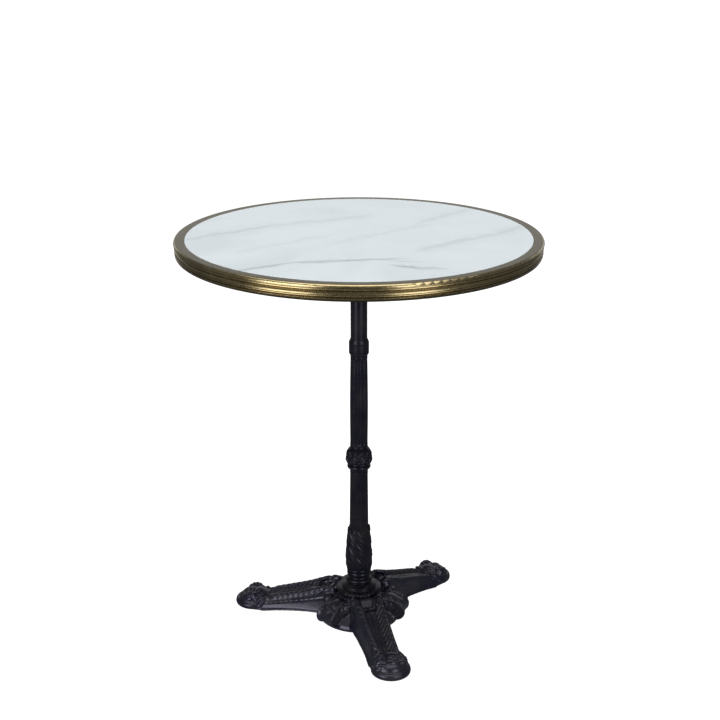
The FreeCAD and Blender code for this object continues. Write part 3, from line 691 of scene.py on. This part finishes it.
def plain_rows(low, high, pitch, radius):
    """Rows of a plain tapering length."""
    count = int((high - low) / pitch)
    heights = [low + (high - low) * step / count for step in range(count + 1)]
    return [(radius(height), height, 1.0) for height in heights]


lower = bead(vase_foot, vase_foot + 4.4, 21.4, 0.9, 0.0, 6)
lower += plain_rows(vase_foot + 5, vase_top + 3, 0.8, vase_radius)
lower += plain_rows(vase_top + 4, shaft_top - 9, 4.0, vase_radius)[1:]
lower += plain_rows(shaft_top - 8, shaft_top, 0.8, vase_radius)
lower += hidden_ends(vase_foot, shaft_top)
piece("column_vase", wrapped(lower, FLUTES * 16, clad), column_black, "column_lower")

# ------------------------------------------------------------------ knop
# A ringed iron casting between the two shafts. A net of crossing leaf ribs is cast into its upper
# bulge, over a scalloped collar, a deep groove and a plain ring.

KNOP_RIBS = 10
knop_foot, knop_head = shaft_top, 342


def netted(turn, height):
    """Crossing ribs over the bulge, and scallops along its lower edge."""
    rise = (height - (knop_foot + 20)) / 20
    inside = eased(rise, -0.10, 0.12) * (1 - eased(rise, 0.86, 1.02))
    ribs = 0
    for hand in (-1, 1):
        phase = (turn * KNOP_RIBS / math.tau + hand * rise * 1.1) % 1
        ribs = max(ribs, math.exp(-((phase - 0.5) / 0.13) ** 2))
    scallop = abs(math.sin(turn * KNOP_RIBS)) ** 0.7 * math.exp(-((height - knop_foot - 20.4) / 1.5) ** 2)
    return inside * (2.0 * ribs - 1.3) + 0.9 * scallop - 0.2


knop = [(15.9, knop_foot, 0), (16.4, knop_foot + 3.6, 0), (17.2, knop_foot + 5.2, 0)]
knop += bead(knop_foot + 5.6, knop_foot + 12.8, 18.2, 2.7)
knop += [(17.6, knop_foot + 13.8, 0), (17.8, knop_foot + 15, 0)]
knop += bead(knop_foot + 15.6, knop_foot + 19.4, 19.6, 2.9, 0.2, 8)
for row in range(36):
    climb = knop_foot + 19.8 + 25.2 * row / 35
    above = min(max(climb - knop_foot - 24, -8) / 20, 1)
    knop.append((15.4 + 8.0 * math.sqrt(1 - above ** 2), climb, 1.0))
knop += [(15.7, knop_foot + 45.6, 0), (15.6, knop_head, 0)]
knop += hidden_ends(knop_foot, knop_head)
piece("column_ringed_knop", wrapped(knop, KNOP_RIBS * 30, netted), column_black,
      "column_knop")

# ------------------------------------------------------------------ upper shaft
# A hollow iron casting, fluted like the lower one and very slightly swollen at its middle.

upper_foot, upper_head = knop_head, 508


def upper_radius(height):
    """The shaft's gentle swelling, and its taper towards the collar."""
    belly = 408
    if height < belly:
        return 15.7 + 0.5 * math.sin(math.pi / 2 * (height - upper_foot) / (belly - upper_foot))
    return 16.2 - 1.3 * ((height - belly) / (upper_head - belly)) ** 1.7


def upper_flutes(turn, height):
    """Relief of the upper shaft."""
    return fluted(turn, height, upper_foot + 1.5, upper_head - 3, 1.4)


upper = plain_rows(upper_foot, upper_foot + 8, 0.8, upper_radius)
upper += plain_rows(upper_foot + 8, upper_head - 10, 4.0, upper_radius)[1:-1]
upper += plain_rows(upper_head - 10, upper_head, 0.8, upper_radius)
upper += hidden_ends(upper_foot, upper_head)
piece("column_shaft", wrapped(upper, FLUTES * 16, upper_flutes), column_black, "column_upper")

# ------------------------------------------------------------------ collar, neck tube and spider
# A turned collar joins the shaft to a plain steel tube, and the tube stands in the socket of a
# four-armed cast spider. All are painted the same satin black; the tube and collar are smoother.

tube_black = iron_paint("tube_black", 0.000008, 0.00003)
dress("column_collar", tube_black)
dress("neck_tube", tube_black)
dress("top_spider", iron_paint("spider_black", 0.00004, 0.0002))

# ------------------------------------------------------------------ wood screws
# Eight slotted steel screws with domed heads, blackened, that hold the board down on the spider.

steel = Finish("screw_steel")
tarnish = steel.noise(500, 3)
dress("spider_screws", steel.surface(
    Base_Color=steel.blend(steel.band(tarnish, 0.35, 0.65), (0.06, 0.06, 0.065), (0.16, 0.15, 0.14)),
    Metallic=1.0, Roughness=steel.band(tarnish, 0.3, 0.7, 0.34, 0.52),
    Normal=steel.bump(steel.noise(1600, 2), 0.00003)))

# ------------------------------------------------------------------ board
# A turned disc of dense fibre board that beds the slab and fills the brass edge. Its sawn face
# shows brown fibres, faintly mottled, and it is sealed with a thin dull varnish.

board = Finish("fibre_board")
fibre = board.noise(900, 4, 0.65)
mottle = board.noise(55, 3)
dress("core_board", board.surface(
    Base_Color=board.blend(board.band(fibre * 0.6 + mottle * 0.4, 0.3, 0.7), (0.115, 0.068, 0.036),
                           (0.205, 0.132, 0.074)),
    Roughness=board.band(fibre, 0.3, 0.7, 0.62, 0.8),
    Normal=board.bump(fibre, 0.00025)))

# ------------------------------------------------------------------ marble slab
# A polished disc of white stone, cool in tone, with cloudy grey veins: one runs in from the left
# front and fades near the middle, and fainter ones cross the back.


def vein(stone, start, end, width, wander, seed):
    """A cloudy vein between two places, in millimetres: 1 along its middle and 0 away from it."""
    first, last = Vector(start), Vector(end)
    run = (last - first).normalized()
    length = (last - first).length * MM
    across = Vector((-run.y, run.x))
    sway = stone.noise(9, 5, 0.6, distortion=seed)
    fray = stone.noise(34, 5, 0.65, distortion=seed * 0.5)
    right = stone.node("ShaderNodeSeparateXYZ", {}, {0: stone.place})
    back = stone.node("ShaderNodeSeparateXYZ", {}, {0: stone.place}, 1)
    offset = right * across.x + back * across.y - (first.dot(across) * MM)
    offset = offset + (sway - 0.5) * (wander * MM * 4) + (fray - 0.5) * (width * MM * 2.2)
    place = right * run.x + back * run.y - (first.dot(run) * MM)
    ends = stone.band(place, -0.03, 0.03) * stone.band(place, length - 0.04, length + 0.04, 1.0, 0.0)
    near = stone.node("ShaderNodeMath", {"operation": "ABSOLUTE"}, {0: offset})
    return stone.band(near, 0.0, width * MM, 1.0, 0.0) * ends


# start and end in the table's frame, half width, wander, seed and strength
VEINS = (
    ((-245, -172), (-150, -146), 7.0, 5, 0.4, 0.70),
    ((-150, -146), (20, -166), 6.0, 6, 0.9, 0.75),
    ((-10, -168), (60, -200), 5.0, 5, 1.3, 0.35),
    ((5, -205), (34, -232), 9, 3, 0.2, 1.0),
    ((30, -224), (62, -240), 7, 3, 0.6, 0.8),
    ((-292, 40), (-120, 118), 16, 12, 1.1, 0.34),
    ((-150, 105), (60, 140), 14, 14, 0.3, 0.26),
    ((60, -130), (300, -10), 15, 12, 0.8, 0.30),
    ((-60, -40), (150, 50), 12, 16, 1.7, 0.18),
    ((-220, -60), (-40, 20), 10, 12, 2.1, 0.16),
    ((120, 60), (250, 150), 13, 12, 0.5, 0.25),
)

stone = Finish("white_marble")
grey = stone.noise(5, 4, 0.55, distortion=0.6)
cloud = stone.noise(2.6, 5, 0.6, distortion=1.2)
shade = stone.band(cloud, 0.42, 0.75) * 0.22
for start, end, width, wander, seed, strength in VEINS:
    core = vein(stone, start, end, width * 0.8, wander, seed)
    halo = vein(stone, start, end, width * 3.0, wander, seed)
    shade = stone.node("ShaderNodeMath", {"operation": "MAXIMUM"}, {
        0: shade, 1: (core * 0.55 + halo * 0.45) * strength * stone.band(grey, 0.3, 0.55, 0.7, 1.0)})
crystal = stone.noise(700, 3)
dress("marble_slab", stone.surface(
    Base_Color=stone.blend(shade, (0.745, 0.815, 0.845), (0.24, 0.27, 0.30)),
    Roughness=stone.band(crystal, 0.3, 0.7, 0.16, 0.22),
    Specular_IOR_Level=0.45, Coat_Weight=0.25, Coat_Roughness=0.08,
    Normal=stone.bump(crystal, 0.000012)))

# ------------------------------------------------------------------ brass edge
# Drawn brass strip, rolled to a reeded section and bent round the board. It is lacquered over a
# brown antique tone that stays in the hollows, and is rubbed bright along the beads. The flat lip on top
# is darkened with painted shade, for the dim light it reflects.

# radii and heights in metres between which the hollows take their antique tone and the lip its painted
# shade
HOLLOW_RADII = (0.3068, 0.3093)
HOLLOW_HEIGHTS = (0.7150, 0.7190)
SHADED_LIP_HEIGHTS = (0.7191, 0.7197)

brass = Finish("antique_brass")
height = brass.node("ShaderNodeSeparateXYZ", {}, {0: brass.place}, 2)
tone = brass.noise(26, 4, 0.6)
speck = brass.noise(420, 3, 0.6)
radius = brass.node("ShaderNodeVectorMath", {"operation": "LENGTH"}, {
    0: brass.node("ShaderNodeVectorMath", {"operation": "MULTIPLY"}, {0: brass.place, 1: (1, 1, 0)})}, 1)
drawn = brass.node("ShaderNodeTexNoise", {}, {
    "Vector": brass.node("ShaderNodeCombineXYZ", {}, {0: radius, 1: height, 2: 0.0}),
    "Scale": 2600.0, "Detail": 2.0})
hollow = brass.band(radius, *HOLLOW_RADII, 1.0, 0.0) * brass.band(height, *HOLLOW_HEIGHTS, 1.0, 0.0)
worn = brass.band(tone * 0.7 + speck * 0.3, 0.35, 0.65)
rubbed_tone_and_lip_shade = brass.blend(worn, (0.42, 0.33, 0.165), (0.54, 0.435, 0.235))
# painted shade: the flat top lip is mixed towards a dark olive, as if it reflected less light
lip = brass.band(height, *SHADED_LIP_HEIGHTS)
rubbed_tone_and_lip_shade = brass.blend(lip * 0.9, rubbed_tone_and_lip_shade, (0.135, 0.115, 0.068))
polish = brass.band(speck * 0.5 + tone * 0.5, 0.3, 0.7, 0.20, 0.28)
dress("brass_rim", brass.surface(
    Base_Color=brass.blend(hollow * 0.85, rubbed_tone_and_lip_shade, (0.085, 0.062, 0.028)),
    Metallic=1.0, Roughness=polish + hollow * 0.1 + lip * 0.15,
    Coat_Weight=0.15, Coat_Roughness=0.15, Normal=brass.bump(drawn, 0.00002)))

# ------------------------------------------------------------------ levelling feet
# Under each toe a nylon pad turns on a zinc-plated threaded stud, so that the table stands firm.

nylon = Finish("black_nylon")
mould = nylon.noise(1100, 3)
black_nylon = nylon.surface(
    Base_Color=nylon.blend(nylon.band(mould, 0.3, 0.7), (0.012, 0.012, 0.012), (0.02, 0.02, 0.02)),
    Roughness=nylon.band(mould, 0.3, 0.7, 0.45, 0.6), Normal=nylon.bump(mould, 0.00008))
stud_zinc = zinc_plate("stud_zinc", 0.00125)
for number in (1, 2, 3):
    dress("leveller_pad_%d" % number, black_nylon)
    dress("leveller_stud_%d" % number, stud_zinc)
